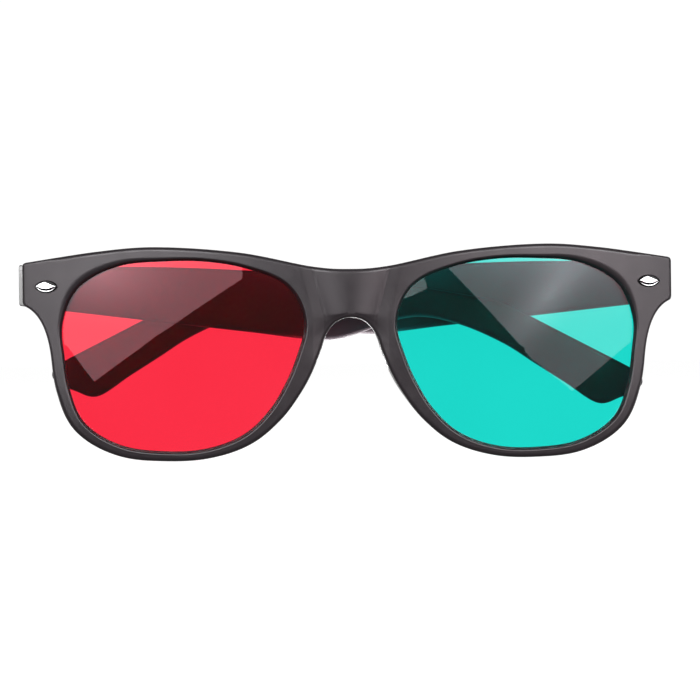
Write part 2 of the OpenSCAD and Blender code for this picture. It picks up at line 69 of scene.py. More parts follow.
LEAF_T, TEMPLE_LEAF_L, TEMPLE_LEAF_H, LEAF_START = 0.8, 12.0, 5.0, 2.1
KNUCKLE_PLAY, POCKET_GAP, SEAT_GAP = 0.1, 0.3, 0.02
TEMPLE_REACH, TEMPLE_T, TAIL_T, TEMPLE_END_H = 135.65, 3.0, 2.6, 9.2
WIDE_AT, WIDE_H, WAIST_AT, WAIST_H, BEND_AT = 63.25, 14.6, 86.25, 6.6, 104.25
TAIL_ANGLE, TAIL_W, OPEN_ANGLE = 22.0, 11.9, 95.0
LEFT_FALL, RIGHT_FALL = 6.9, 5.7
STACK_GAP, FACE_GAP, BUTT_GAP = 0.3, 0.3, 0.05
# Radius of a lens opening every 20 degrees, as a share of half its width and height
LENS_SHAPE = np.array([
    0.995, 1.072, 1.138, 1.095, 1.012, 1.006, 1.052, 1.12, 1.06,
    0.939, 0.891, 0.911, 0.963, 0.99, 1.012, 1.07, 1.081, 1.013,
])

LENS_CX = (BRIDGE_W + LENS_W) / 2
LENS_CZ = BROW_H - RIM_TOP - LENS_H / 2
HALF_W = BRIDGE_W / 2 + LENS_W + END_W
LENS_BACK = LENS_SET + LENS_T


# Curves

def mix(a, b, t):
    return a + (b - a) * t


def smooth(t):
    c = np.clip(t, 0, 1)
    return c * c * (3 - 2 * c)


def unit(v):
    return v / np.linalg.norm(v)


def blend(a, b, c, d, t):
    return 0.5 * (
        2 * b + (c - a) * t + (2 * a - 5 * b + 4 * c - d) * t * t
        + (3 * b - a - 3 * c + d) * t * t * t
    )


def curve(points, s, first=None):
    """Smooth open curve through the points, with s counted in points."""
    points = [np.array(p, float) for p in points]
    n = len(points)
    i = min(int(s), n - 2)
    if i > 0:
        before = points[i - 1]
    else:
        before = 2 * points[0] - points[1] if first is None else np.array(first, float)
    after = points[i + 2] if i < n - 2 else 2 * points[n - 1] - points[n - 2]
    return blend(before, points[i], points[i + 1], after, s - i)


def bezier(a, b, c, t):
    a, b, c = (np.array(p, float) for p in (a, b, c))
    return mix(mix(a, b, t), mix(b, c, t), t)


def cosd(a):
    return math.cos(math.radians(a))


def sind(a):
    return math.sin(math.radians(a))


# Front: lens opening and outline of the right half

def wrap_y(x, d):
    return WRAP_R - np.sqrt((WRAP_R - d) ** 2 - x * x)


def opening(phi):
    n = len(LENS_SHAPE)
    s = (phi % 360) / (360 / n)
    i = int(s)
    r = blend(*(LENS_SHAPE[(i + k) % n] for k in (-1, 0, 1, 2)), s - i)
    return np.array([LENS_CX + r * LENS_W / 2 * cosd(phi), LENS_CZ + r * LENS_H / 2 * sind(phi)])


def opening_out(phi):
    t = unit(opening(phi + 0.5) - opening(phi - 0.5))
    return np.array([t[1], -t[0]])


def direction_of(p):
    return math.degrees(math.atan2((p[1] - LENS_CZ) / LENS_H, (p[0] - LENS_CX) / LENS_W))


RIM_SIDE_FADE, RIM_NOSE_FADE = 70.0, 110.0


def rim_width(phi):
    if phi > -90:
        return mix(RIM_BOTTOM, RIM_SIDE, smooth((phi + 90) / RIM_SIDE_FADE))
    return mix(RIM_BOTTOM, RIM_NOSE, smooth((-90 - phi) / RIM_NOSE_FADE))


def rim_edge(phi):
    return opening(phi) + rim_width(phi) * opening_out(phi)


# Points of the top edge, from the middle of the bridge to the end piece
TOP_POINTS = [
    (0, BRIDGE_H),
    (BRIDGE_W * 0.43, BRIDGE_H + 0.7),
    (LENS_CX - LENS_W * 0.235, BROW_H - 1.45),
    (LENS_CX + LENS_W * 0.1, BROW_H),
    (LENS_CX + LENS_W * 0.35, BROW_H - 0.75),
    (HALF_W, END_TOP),
]
ARCH_PHI = -190.0
TOP_STEPS, CORNER_STEPS, END_STEPS, NOTCH_STEPS = 110, 8, 8, 24
RIM_STEPS, ARCH_STEPS, MIDDLE_STEPS = 200, 36, 24


def outline_points():
    """Stations clockwise from the middle of the bridge, and the arch's first and last station."""
    first = (-TOP_POINTS[1][0], TOP_POINTS[1][1])
    last = len(TOP_POINTS) - 1 - CORNER_R / (HALF_W - TOP_POINTS[-2][0])
    corner_a = curve(TOP_POINTS, last, first)
    corner_b = np.array([HALF_W, END_TOP - CORNER_R])
    end_low = np.array([HALF_W, END_TOP - END_H])
    notch_end = rim_edge(0)
    run = unit(notch_end - rim_edge(-1))
    notch_mid = notch_end + run * (end_low[1] - NOTCH_FALL - notch_end[1]) / run[1]
    arch_a = rim_edge(ARCH_PHI)
    run = unit(arch_a - rim_edge(ARCH_PHI + 1))
    arch_mid = (arch_a[0] - run[0] * arch_a[1] / run[1], 0)
    points = [curve(TOP_POINTS, last * i / TOP_STEPS, first) for i in range(TOP_STEPS)]
    points += [bezier(corner_a, (HALF_W, END_TOP), corner_b, i / CORNER_STEPS) for i in range(CORNER_STEPS)]
    low_a = end_low + np.array([0, CORNER_R])
    low_way = CORNER_R / (2 * np.linalg.norm(notch_mid - end_low))
    low_b = bezier(end_low, notch_mid, notch_end, low_way)
    points += [mix(corner_b, low_a, i / END_STEPS) for i in range(END_STEPS)]
    points += [bezier(low_a, end_low, low_b, i / CORNER_STEPS) for i in range(CORNER_STEPS)]
    notch_ways = [mix(low_way, 1, i / NOTCH_STEPS) for i in range(NOTCH_STEPS)]
    points += [bezier(end_low, notch_mid, notch_end, t) for t in notch_ways]
    points += [rim_edge(ARCH_PHI * i / RIM_STEPS) for i in range(RIM_STEPS)]
    free = len(points)
    points += [bezier(arch_a, arch_mid, (0, 0), i / ARCH_STEPS) for i in range(ARCH_STEPS + 1)]
    arch = len(points) - 1
    points += [
        np.array([0, mix(EDGE_R, BRIDGE_H - EDGE_R, i / MIDDLE_STEPS)]) for i in range(1, MIDDLE_STEPS)
    ]
    return points, free, arch


# Front: depth of its faces

CREASE_TOP, CREASE_BOTTOM, CREASE_D, CREASE_FADE = 8.1, 5.4, 0.3, 3.0
SEAT_Y = float(wrap_y(HALF_W, 0)) + END_T
SEAT_IN, SEAT_FADE, SEAT_RISE = 0.4, 1.6, 4.0


def relief(x, z):
    """Depth of the front face below the wrap: a crown between the creases, fading out beside them."""
    c = mix(CREASE_BOTTOM, CREASE_TOP, np.clip(z / BRIDGE_H, 0, 1))
    if x < c:
        return CREASE_D - (CREASE_D + BRIDGE_CROWN) * (1 - (x / c) ** 2)
    return CREASE_D * (1 - np.clip((x - c) / CREASE_FADE, 0, 1))


def front_y(p):
    return wrap_y(p[0], relief(p[0], p[1]))


def back_y(p, pad):
    side = smooth((p[0] - LENS_CX - LENS_W / 2 + SEAT_IN) / SEAT_FADE)
    drop = smooth((p[1] - END_TOP + END_H + SEAT_RISE) / SEAT_RISE)
    return mix(wrap_y(p[0], FRONT_T), SEAT_Y, side * drop) + pad * PAD_D


def pad_share(phi):
    a = (phi + 360 if phi < 0 else phi) - PAD_ANGLE
    return cosd(90 * a / PAD_HALF_ANGLE) ** 2 if abs(a) < PAD_HALF_ANGLE else 0.0


# The inner wall's flare and edge, which is softer at the upper outer corner of the opening
FLARE, FLARE_EDGE = 0.38, 0.4
CORNER_DROP, CORNER_REACH, CORNER_PHI, CORNER_SPREAD = 0.5, 1.0, 42.0, 26.0
EDGE_FADE = 4.0
LEAN, LEAN_SIDE_FADE, LEAN_NOSE_END, LEAN_NOSE_FADE = 7.0, 55.0, -203.0, 20.0
PAD_REACH, PAD_SWELL = 0.72, 1.35
FACE_STEPS, ROUND_STEPS, WALL_STEPS, BACK_STEPS = 30, 7, 4, 4


def edge_at(p):
    return mix(EDGE_R, END_EDGE_R, smooth((p[0] - LENS_CX - LENS_W / 2) / EDGE_FADE))


def lean_at(phi):
    """Slope by which the face of the lower rims leans back, fading out up the outer side and up the nose."""
    a = phi - 360 if phi > 90 else phi
    fade = smooth(-a / LEAN_SIDE_FADE) * smooth((a - LEAN_NOSE_END) / LEAN_NOSE_FADE)
    return math.tan(math.radians(LEAN)) * fade


def section(outer, inward, phi, radius):
    """Ring of points from the lens groove over the front to the back, and its outer part's two ends."""
    edge, outward = opening(phi), opening_out(phi)
    pad, slope = pad_share(phi), lean_at(phi)
    corner = math.exp(-((phi - CORNER_PHI) / CORNER_SPREAD) ** 2)
    drop, reach = FLARE_EDGE + CORNER_DROP * corner, FLARE_EDGE + CORNER_REACH * corner
    wall_end = edge + outward * FLARE
    face_start, face_end = wall_end + outward * reach, outer + inward * radius
    ring = []

    def add(p, y):
        ring.append((p[0], float(y), p[1]))

    def face_y(p):
        return front_y(p) + slope * np.linalg.norm(p - face_start)

    # Inner wall from the lens to the front, and its softened edge
    lip = wrap_y(edge[0], LENS_SET - LENS_GAP)
    wall_y = front_y(wall_end) + drop
    for i in range(WALL_STEPS):
        t = i / WALL_STEPS
        add(mix(edge, wall_end, t), mix(lip, wall_y, t))
    for i in range(ROUND_STEPS):
        t = 90 * i / ROUND_STEPS
        p = wall_end + outward * reach * (1 - cosd(t))
        add(p, front_y(p) + drop * (1 - sind(t)))

    # Front face
    for i in range(FACE_STEPS):
        p = mix(face_start, face_end, i / FACE_STEPS)
        add(p, face_y(p))

    # Outer part: its front edge, wall and back edge
    first = len(ring)
    for i in range(ROUND_STEPS):
        t = 90 * i / ROUND_STEPS
        p = outer + inward * radius * (1 - sind(t))
        add(p, face_y(p) + radius * (1 - cosd(t)))
    top, bottom = face_y(outer) + radius, back_y(outer, pad) - radius
    for i in range(WALL_STEPS):
        add(outer, mix(top, bottom, i / WALL_STEPS))
    for i in range(ROUND_STEPS):
        t = 90 * i / ROUND_STEPS
        p = outer + inward * radius * (1 - cosd(t))
        add(p, back_y(p, pad) - radius * (1 - sind(t)))
    last = len(ring)

    # Back face with the nose pad, and the opening's back edge
    inner = edge + outward * EDGE_R
    for i in range(FACE_STEPS + 1):
        t = 1 - i / FACE_STEPS
        p = mix(inner, face_end, t)
        add(p, back_y(p, pad * (1 - (1 - min(t / PAD_REACH, 1)) ** PAD_SWELL)))
    half = EDGE_R / 2
    for i in range(1, BACK_STEPS):
        t = 90 * i / BACK_STEPS
        p = edge + outward * EDGE_R * (1 - sind(t))
        add(p, back_y(p, 0) - half * (1 - cosd(t)))
    add(edge, back_y(edge, 0) - half)

    # Lens groove
    groove = edge + outward * GROOVE_D
    add(edge, wrap_y(edge[0], LENS_BACK + LENS_GAP))
    add(groove, wrap_y(groove[0], LENS_BACK + LENS_GAP))
    add(groove, wrap_y(groove[0], LENS_SET - LENS_GAP))
    return ring, first, last


def front_mesh():
    """Both halves of the front, joined along the middle of the bridge."""
    points, free, arch = outline_points()
    count = len(points)
    phi_a, phi_b = direction_of(points[free]), direction_of(points[0])
    rings = []
    for i, point in enumerate(points):
        if i == 0:
            along = np.array([1.0, 0.0])
        elif i >= arch:
            along = np.array([-1.0, 0.0])
        else:
            along = unit(points[i + 1] - points[i - 1])
        inward = np.array([along[1], -along[0]])
        if i < free:
            phi = direction_of(point)
        else:
            phi = mix(phi_a, phi_b, (i - free) / (count - free))
        radius = 0 if i > arch else edge_at(point)
        ring, first, last = section(point, inward, phi, radius)
        rings.append(ring)
    size = len(rings[0])
    half = [p for r in rings for p in r]
    verts = half + [(-p[0], p[1], p[2]) for p in half]

    def on_middle(i):
        return i == 0 or i >= arch

    def corner(side, i, k):
        i, k = i % count, k % size
        outer = first <= k <= last
        if i > arch and outer:
            k = first if k < (first + last) / 2 else last
        shared = on_middle(i) and outer
        return i * size + k + (len(half) if side < 0 and not shared else 0)

    def is_middle(v):
        v %= len(half)
        return on_middle(v // size) and first <= v % size <= last

    faces = []
    for side in (1, -1):
        for i in range(count):
            for k in range(size):
                quad = ((i, k), (i + 1, k), (i + 1, k + 1), (i, k + 1))
                face = list(dict.fromkeys(corner(side, *place) for place in quad))
                if len(face) > 2 and not all(is_middle(v) for v in face):
                    faces.append(face if side < 0 else face[::-1])
    return verts, faces


# Making objects

SHARP = 40


def make(name, verts, faces, sharp=SHARP):
    """Object from points in millimetres, shaded smooth up to an angle between faces."""
    mesh = bpy.data.meshes.new(name)
    mesh.from_pydata([tuple(c * MM for c in v) for v in verts], [], faces)
    bm = bmesh.new()
    bm.from_mesh(mesh)
    loose = [v for v in bm.verts if not v.link_faces]
    bmesh.ops.delete(bm, geom=loose, context="VERTS")
    bmesh.ops.recalc_face_normals(bm, faces=bm.faces)
    bm.to_mesh(mesh)
    bm.free()
    smooth_shade(mesh, sharp)
    obj = bpy.data.objects.new(name, mesh)
    bpy.context.scene.collection.objects.link(obj)
    return obj


def smooth_shade(mesh, sharp):
    mesh.polygons.foreach_set("use_smooth", [True] * len(mesh.polygons))
    mesh.set_sharp_from_angle(angle=math.radians(sharp))
    mesh.update()


def loft(rings, closed_ends=True):
    """Faces of a tube through rings of equal length."""
    n = len(rings[0])
    verts = [p for r in rings for p in r]
    faces = []
    for i in range(len(rings) - 1):
        for k in range(n):
            j = (k + 1) % n
            faces.append((i * n + k, i * n + j, (i + 1) * n + j, (i + 1) * n + k))
    if closed_ends:
        faces.append(tuple(range(n - 1, -1, -1)))
        faces.append(tuple(range((len(rings) - 1) * n, len(rings) * n)))
    return verts, faces


# Lens: a thin curved shell whose edge lies in the groove

LENS_TURNS, LENS_RINGS = 180, 16
# The fan of triangles in the middle is tiny, because a wide one bends the reflections
LENS_HUB = 0.005


def lens_mesh(side):
    edge = []
    for i in range(LENS_TURNS):
        phi = 360 * i / LENS_TURNS
        edge.append(opening(phi) + (GROOVE_D - LENS_GAP) * opening_out(phi))
    centre = np.array([LENS_CX, LENS_CZ])

    def ring(share, d):
        points = [mix(centre, p, share) for p in edge]
        return [(side * p[0], float(wrap_y(p[0], d)), p[1]) for p in points]

    shares = [LENS_HUB] + [i / LENS_RINGS for i in range(1, LENS_RINGS + 1)]
    rings = [ring(s, LENS_SET) for s in shares] + [ring(s, LENS_BACK) for s in reversed(shares)]
    verts, faces = loft(rings, False)
    for d, base, flip in ((LENS_SET, 0, True), (LENS_BACK, (len(rings) - 1) * LENS_TURNS, False)):
        verts.append((side * LENS_CX, float(wrap_y(LENS_CX, d)), LENS_CZ))
        hub = len(verts) - 1
        for k in range(LENS_TURNS):
            j = (k + 1) % LENS_TURNS
            faces.append((hub, base + j, base + k) if flip else (hub, base + k, base + j))
    return verts, faces


# Temple: rows of distance from the hinge, top edge and bottom edge

HINGE_X = HALF_W - TEMPLE_T - FACE_GAP
HINGE_Y = SEAT_Y + HINGE_BACK
FOLD_LEAN = math.degrees(math.asin((TEMPLE_T + STACK_GAP) / (2 * HINGE_X)))
WIDE_LOW, WAIST_DROP = 4.8, 0.2
WIDE_TOP = WIDE_H - WIDE_LOW
WAIST_TOP = WIDE_TOP - WAIST_DROP
WAIST_LOW = WAIST_TOP - WAIST_H
BEND_TOP, BEND_LOW, TIP_L, TIP_H, TIP_WAY = 8.3, -1.0, 10.4, 0.3, 0.22
TAIL_LOW_AT = TEMPLE_REACH - TIP_L


def tail_top(u):
    return BEND_TOP - (u - BEND_AT) * math.tan(math.radians(TAIL_ANGLE))


TAIL_LOW = tail_top(TAIL_LOW_AT) - TAIL_W
TIP_Z = mix(tail_top(TEMPLE_REACH), TAIL_LOW, TIP_WAY)


def front_row(way, rise):
    h = TEMPLE_END_H / 2
    return (WIDE_AT * way, mix(h, WIDE_TOP, rise), -mix(h, WIDE_LOW, rise))


def tail_row(way):
    u = mix(BEND_AT, TAIL_LOW_AT, way)
    return (u, tail_top(u), mix(BEND_LOW, TAIL_LOW, way))


def tip_row(way, close, rise):
    u = mix(TAIL_LOW_AT, TEMPLE_REACH, way)
    return (u, mix(tail_top(u), TIP_Z, close), mix(TAIL_LOW, TIP_Z, rise))


TEMPLE_ROWS = [
    (-HINGE_BACK, TEMPLE_END_H / 2, -TEMPLE_END_H / 2),
    front_row(0.16, 0.24),
    front_row(0.45, 0.61),
    front_row(0.75, 0.87),
    front_row(1, 1),
    (mix(WIDE_AT, WAIST_AT, 0.36), WIDE_TOP, mix(-WIDE_LOW, WAIST_LOW, 0.3)),
    (mix(WIDE_AT, WAIST_AT, 0.66), WIDE_TOP, mix(-WIDE_LOW, WAIST_LOW, 0.74)),
    (WAIST_AT, WAIST_TOP, WAIST_LOW),
    (mix(WAIST_AT, BEND_AT, 0.5), mix(WAIST_TOP, BEND_TOP, 0.4), mix(WAIST_LOW, BEND_LOW, 0.25)),
    (BEND_AT, BEND_TOP, BEND_LOW),
    tail_row(0.33),
    tail_row(0.65),
    tail_row(1),
    tip_row(0.5, 0, 0.3),
    tip_row(0.83, 0.06, 0.62),
    tip_row(0.97, 0.35, 0.84),
    (TEMPLE_REACH, TIP_Z + TIP_H / 2, TIP_Z - TIP_H / 2),
]
SPLAY = OPEN_ANGLE - 90
BUTT_ROUND, TEMPLE_ROUND, TIP_ROUND = 0.4, 1.0, 1.2
TIP_THIN, ROUND_SHARE = 0.9, 0.45
BUTT_STEPS, ROW_STEPS, ARM_CORNER_STEPS = 5, 12, 6


def butt_u(w):
    """Where the temple's end stops, so that it lies flat against the front when open."""
    return (w * sind(SPLAY) - HINGE_BACK + BUTT_GAP) / cosd(SPLAY)


def temple_ring(s, inset, fall):
    """Rounded section at row s in the hinge's own frame: across, along and up."""
    row = curve(TEMPLE_ROWS, s)
    u = row[0]
    t = mix(TEMPLE_T, TAIL_T, smooth((u - WAIST_AT) / (TEMPLE_REACH - WAIST_AT)))
    over = max(0, u - (TEMPLE_REACH - TIP_ROUND))
    thin = TIP_ROUND - math.sqrt(max(TIP_ROUND ** 2 - over ** 2, 0.0))
    inner, outer = FACE_GAP + inset + thin * TIP_THIN, FACE_GAP + t - inset - thin * TIP_THIN
    bottom, top = row[2] + inset, row[1] - inset
    r = min(TEMPLE_ROUND, (outer - inner) * ROUND_SHARE, (top - bottom) * ROUND_SHARE)
    corners = (
        (inner + r, bottom + r, 180),
        (outer - r, bottom + r, 270),
        (outer - r, top - r, 0),
        (inner + r, top - r, 90),
    )
    ring = []
    for cx, cz, start in corners:
        for i in range(ARM_CORNER_STEPS + 1):
            a = start + 90 * i / ARM_CORNER_STEPS
            w, z = cx + r * cosd(a), cz + r * sind(a)
            v = butt_u(w) * u / -HINGE_BACK if u < 0 else u
            ring.append((w, v, z - v * math.tan(math.radians(fall))))
    return ring


def to_fold(side, p):
    """From the hinge's own frame to the folded place."""
    x, y, z = p
    x *= side
    a = math.radians(side * (90 + (FOLD_LEAN if side < 0 else -FOLD_LEAN)))
    c, s = math.cos(a), math.sin(a)
    return (x * c - y * s + side * HINGE_X, x * s + y * c + HINGE_Y, z + HINGE_Z)


def temple_mesh(side):
    fall = LEFT_FALL if side < 0 else RIGHT_FALL
    steps = ROW_STEPS * (len(TEMPLE_ROWS) - 1)
    rings = []
    for i in range(BUTT_STEPS):
        t = 90 * i / BUTT_STEPS
        ring = temple_ring(0, BUTT_ROUND * (1 - sind(t)), fall)
        shift = BUTT_ROUND * (1 - cosd(t))
        rings.append([(w, v + shift, z) for w, v, z in ring])
    rings += [temple_ring(i / ROW_STEPS, 0, fall) for i in range(1, steps + 1)]
    return loft([[to_fold(side, p) for p in r] for r in rings])


def cutter_box(side, low, high):
    xs, ys, zs = zip(low, high)
    verts = [to_fold(side, (x, y, z)) for x in xs for y in ys for z in zs]
    faces = [(0, 1, 3, 2), (4, 6, 7, 5), (0, 4, 5, 1), (2, 3, 7, 6), (0, 2, 6, 4), (1, 5, 7, 3)]
    return verts, faces


ROD_STEPS = 48


def cutter_rod(side, r, half):
    turns = [360 * i / ROD_STEPS for i in range(ROD_STEPS)]
    rings = []
    for h in (-half, half):
        rings.append([to_fold(side, (r * cosd(a), r * sind(a), h)) for a in turns])
    return loft(rings)


def cut(obj, shapes):
    """Cuts closed shapes out of an object."""
    tools = [make("cutter", *shape) for shape in shapes]
    for tool in tools:
        mod = obj.modifiers.new("cut", "BOOLEAN")
        mod.operation, mod.solver, mod.object = "DIFFERENCE", "EXACT", tool
    graph = bpy.context.evaluated_depsgraph_get()
    mesh = bpy.data.meshes.new_from_object(obj.evaluated_get(graph))
    obj.modifiers.clear()
    obj.data = mesh
    for tool in tools:
        bpy.data.objects.remove(tool)
    smooth_shade(mesh, SHARP)


# The inner face is a little lower beside the front's hinge leaf, so that it clears it when open
LEAF_RELIEF = 0.15
OVERCUT = 1


def temple(side, name):
    """Temple with the pocket round the hinge barrel, the relief beside it and the slots for its own leaf."""
    obj = make(name, *temple_mesh(side))
    leaf = BARREL_H / 2 + POCKET_GAP
    # Half heights of the middle one of three knuckles and of the tongue
    knuckle = (BARREL_H - 2 * KNUCKLE_PLAY) / 6 + SEAT_GAP
    tongue = TEMPLE_LEAF_H / 2 + SEAT_GAP
    low, high = BARREL_D / 2 - LEAF_T - SEAT_GAP, BARREL_D / 2 + SEAT_GAP
    cut(obj, [
        cutter_rod(side, BARREL_D / 2 + POCKET_GAP, 2 * BARREL_H),
        cutter_box(side, (-OVERCUT, -HINGE_BACK - OVERCUT, -leaf), (FACE_GAP + LEAF_RELIEF, 0, leaf)),
        cutter_box(side, (low, 0, -knuckle), (high, LEAF_START + OVERCUT, knuckle)),
        cutter_box(side, (low, LEAF_START - SEAT_GAP, -tongue), (high, TEMPLE_LEAF_L + SEAT_GAP, tongue)),
    ])
    return obj


# Stud: an almond with a bezel, a wide upper facet and a lower crescent below a step; the bezel and the step
# are painted shade, near-black for the shadow gap and the dark reflections round the facets

STUD_X = HALF_W - STUD_IN
BEZEL, STEP, STEP_DROP, CRESCENT_OUT, FACET_OUT = 0.2, 0.4, 0.6, 0.26, 0.48
BEZEL_TIP, STUD_BLUNT, STEP_SHARE = 0.45, 0.4, 0.35
FACET_TILT, FACET_BOW, FACET_LEAST, STUD_BASE, STUD_EDGE = 9.5, 0.05, 0.06, -0.35, 0.05
CORNER_TILT, CORNER_AT, CORNER_SHIFT = 16.0, 0.85, 0.3
TIP_SHARE, TIP_LEAST = 0.05, 0.1
STUD_ROWS, STUD_STEPS = 12, 72


def stud_mesh(side):
    turn = math.asin(STUD_X / WRAP_R)
    fall, corner_fall = math.tan(math.radians(FACET_TILT)), math.tan(math.radians(CORNER_TILT))
    inner_l = STUD_L / 2 - BEZEL_TIP

    def place(x, z, out):
        c, s = math.cos(turn), math.sin(turn)
        return (side * (STUD_X + x * c + out * s), float(wrap_y(STUD_X, 0)) + x * s - out * c, HINGE_Z + z)

    def half_height(x, length, height):
        arc = (length ** 2 + height ** 2) / (2 * height)
        pointed = math.sqrt(arc ** 2 - x * x) - arc + height
        blunt = height * math.sqrt(max(1 - (x / length) ** 2, 0))
        return max(mix(pointed, blunt, STUD_BLUNT), 0)

    def stud_ring(x):
        h = half_height(x, STUD_L / 2, STUD_H / 2)
        inner = max(half_height(x, inner_l, STUD_H / 2 - BEZEL), TIP_SHARE * h)
        way = min(abs(x) / inner_l, 1)
        thin = max(min((STUD_L / 2 - abs(x)) / BEZEL_TIP, 1), TIP_LEAST)
        step = min(STEP, STEP_SHARE * inner)
        ridge = max(-STEP_DROP * (1 - way ** 2), -inner + step)
        corner_z = STUD_H / 2 * CORNER_AT * (1 - (side * x + CORNER_SHIFT) / inner_l)
        points = [(-h, STUD_BASE), (-h, STUD_EDGE * thin)]
        crescent = (-inner, ridge - step / 2)
        facet = (ridge + step / 2, inner)
        for (z0, z1), out in ((crescent, CRESCENT_OUT * thin), (facet, FACET_OUT * thin)):
            for i in range(STUD_ROWS + 1):
                t = i / STUD_ROWS
                z = mix(z0, z1, t)
                bow = FACET_BOW * thin * (4 * t * (1 - t) + 1 - way ** 2)
                corner = max(z - corner_z, 0) * corner_fall
                points.append((z, max(out - (z - z0) * fall - corner, FACET_LEAST * thin) + bow))
        points += [(h, STUD_EDGE * thin), (h, STUD_BASE)]
        return [place(x, z, out) for z, out in points]

    return loft([stud_ring(-STUD_L / 2 * cosd(180 * i / STUD_STEPS)) for i in range(STUD_STEPS + 1)])


def is_stud_facet(face):
    """Whether a face of the stud's loft is on one of its two polished facets."""
    k = face % (2 * STUD_ROWS + 6)
    return 2 <= k < STUD_ROWS + 2 or STUD_ROWS + 3 <= k < 2 * STUD_ROWS + 3


# Materials

def shader(name):
    """New material with its node tree and its Principled shader."""
    mat = bpy.data.materials.new(name)
    mat.use_nodes = True
    tree = mat.node_tree
    bsdf = next(n for n in tree.nodes if n.type == "BSDF_PRINCIPLED")
    return mat, tree, bsdf


def noise(tree, vector, scale, detail):
    node = tree.nodes.new("ShaderNodeTexNoise")
    node.inputs["Scale"].default_value = scale
    node.inputs["Detail"].default_value = detail
    tree.links.new(vector, node.inputs["Vector"])
    return node.outputs["Fac"]


# Where most values of a noise lie
NOISE_SPAN = (0.3, 0.7)


def ramp(tree, source, low, high, span=NOISE_SPAN):
    """Ramp from a low to a high colour over a span of the source's values."""
    node = tree.nodes.new("ShaderNodeValToRGB")
    for element, at, colour in zip(node.color_ramp.elements, span, (low, high)):
        element.position = at
        element.color = (*colour, 1)
    tree.links.new(source, node.inputs["Fac"])
    return node.outputs["Color"]


def grey(v):
    return (v, v, v)


def math_node(tree, operation, *values):
    """Math node whose inputs are numbers or sockets; returns its output."""
    node = tree.nodes.new("ShaderNodeMath")
    node.operation = operation
    for socket, value in zip(node.inputs, values):
        if isinstance(value, (int, float)):
            socket.default_value = value
        else:
            tree.links.new(value, socket)
    return node.outputs["Value"]


def object_coords(tree):
    return tree.nodes.new("ShaderNodeTexCoord").outputs["Object"]


def axes(tree, coords):
    parts = tree.nodes.new("ShaderNodeSeparateXYZ")
    tree.links.new(coords, parts.inputs["Vector"])
    return [parts.outputs[k] for k in "XYZ"]


# Pale grey painted on the temples' butt ends: a painted highlight standing in for the light they catch
PAINTED_END_HIGHLIGHT = (0.43, 0.43, 0.43, 1)


def painted_end_highlight(tree, coords, colour, across, back):
    """Mixes in a painted highlight, pale grey standing in for light caught on the temple's butt end, beyond
    across from the middle and in front of back.
    """
    x, y, _ = axes(tree, coords)
    far = math_node(tree, "GREATER_THAN", math_node(tree, "ABSOLUTE", x), across * MM)
    ahead = math_node(tree, "LESS_THAN", y, back * MM)
    blended = tree.nodes.new("ShaderNodeMix")
    blended.data_type = "RGBA"
    tree.links.new(math_node(tree, "MULTIPLY", far, ahead), blended.inputs["Factor"])
    tree.links.new(colour, blended.inputs["A"])
    blended.inputs["B"].default_value = PAINTED_END_HIGHLIGHT
    return blended.outputs["Result"]


CREASE_STEP, CREASE_STEP_W = 0.11, 0.6


def map_range(tree, value, low, high, to_low, to_high, kind="LINEAR"):
    node = tree.nodes.new("ShaderNodeMapRange")
    node.interpolation_type = kind
    for name, number in (("From Min", low), ("From Max", high), ("To Min", to_low), ("To Max", to_high)):
        node.inputs[name].default_value = number
    tree.links.new(value, node.inputs["Value"])
    return node.outputs["Result"]


def crease_height(tree, coords):
    """Height in metres by which the middle of the bridge stands above its two creases, on its front only."""
    x, y, z = axes(tree, coords)
    crease = map_range(tree, z, 0, BRIDGE_H * MM, CREASE_BOTTOM * MM, CREASE_TOP * MM)
    off = math_node(tree, "SUBTRACT", math_node(tree, "ABSOLUTE", x), crease)
    step = map_range(tree, off, 0, CREASE_STEP_W * MM, CREASE_STEP * MM, 0, "SMOOTHSTEP")
    return math_node(tree, "MULTIPLY", step, math_node(tree, "LESS_THAN", y, FRONT_T / 2 * MM))


def bump(tree, height, strength, distance):
    node = tree.nodes.new("ShaderNodeBump")
    node.inputs["Strength"].default_value = strength
    node.inputs["Distance"].default_value = distance
    tree.links.new(height, node.inputs["Height"])
    return node


GRAIN_STRENGTH, GRAIN_DEPTH = 0.25, 0.00002
DULLER, GLOSSIER = 0.05, 0.04


def plastic(name, dark, light, rough, shine, ends=None, crease=False):
    """Satin moulded plastic: slow colour drift, fine moulded grain and uneven gloss."""
    mat, tree, bsdf = shader(name)
    coords = object_coords(tree)
    colour = ramp(tree, noise(tree, coords, scale=60, detail=3), dark, light)
    # The temples' butt ends get a painted highlight, pale grey in place of the light they catch
    if ends:
        colour = painted_end_highlight(tree, coords, colour, *ends)
    tree.links.new(colour, bsdf.inputs["Base Color"])
    gloss = noise(tree, coords, scale=220, detail=4)
    level = ramp(tree, gloss, grey(rough - GLOSSIER), grey(rough + DULLER))
    tree.links.new(level, bsdf.inputs["Roughness"])
    grain = noise(tree, coords, scale=9000, detail=2)
    surface = bump(tree, grain, GRAIN_STRENGTH, GRAIN_DEPTH)
    if crease:
        step = bump(tree, crease_height(tree, coords), strength=1, distance=1)
        tree.links.new(surface.outputs["Normal"], step.inputs["Normal"])
        surface = step
    tree.links.new(surface.outputs["Normal"], bsdf.inputs["Normal"])
    bsdf.inputs["IOR"].default_value = 1.5
    bsdf.inputs["Specular IOR Level"].default_value = shine
    bsdf.inputs["Specular Tint"].default_value = (1, 0.97, 1, 1)
    return mat


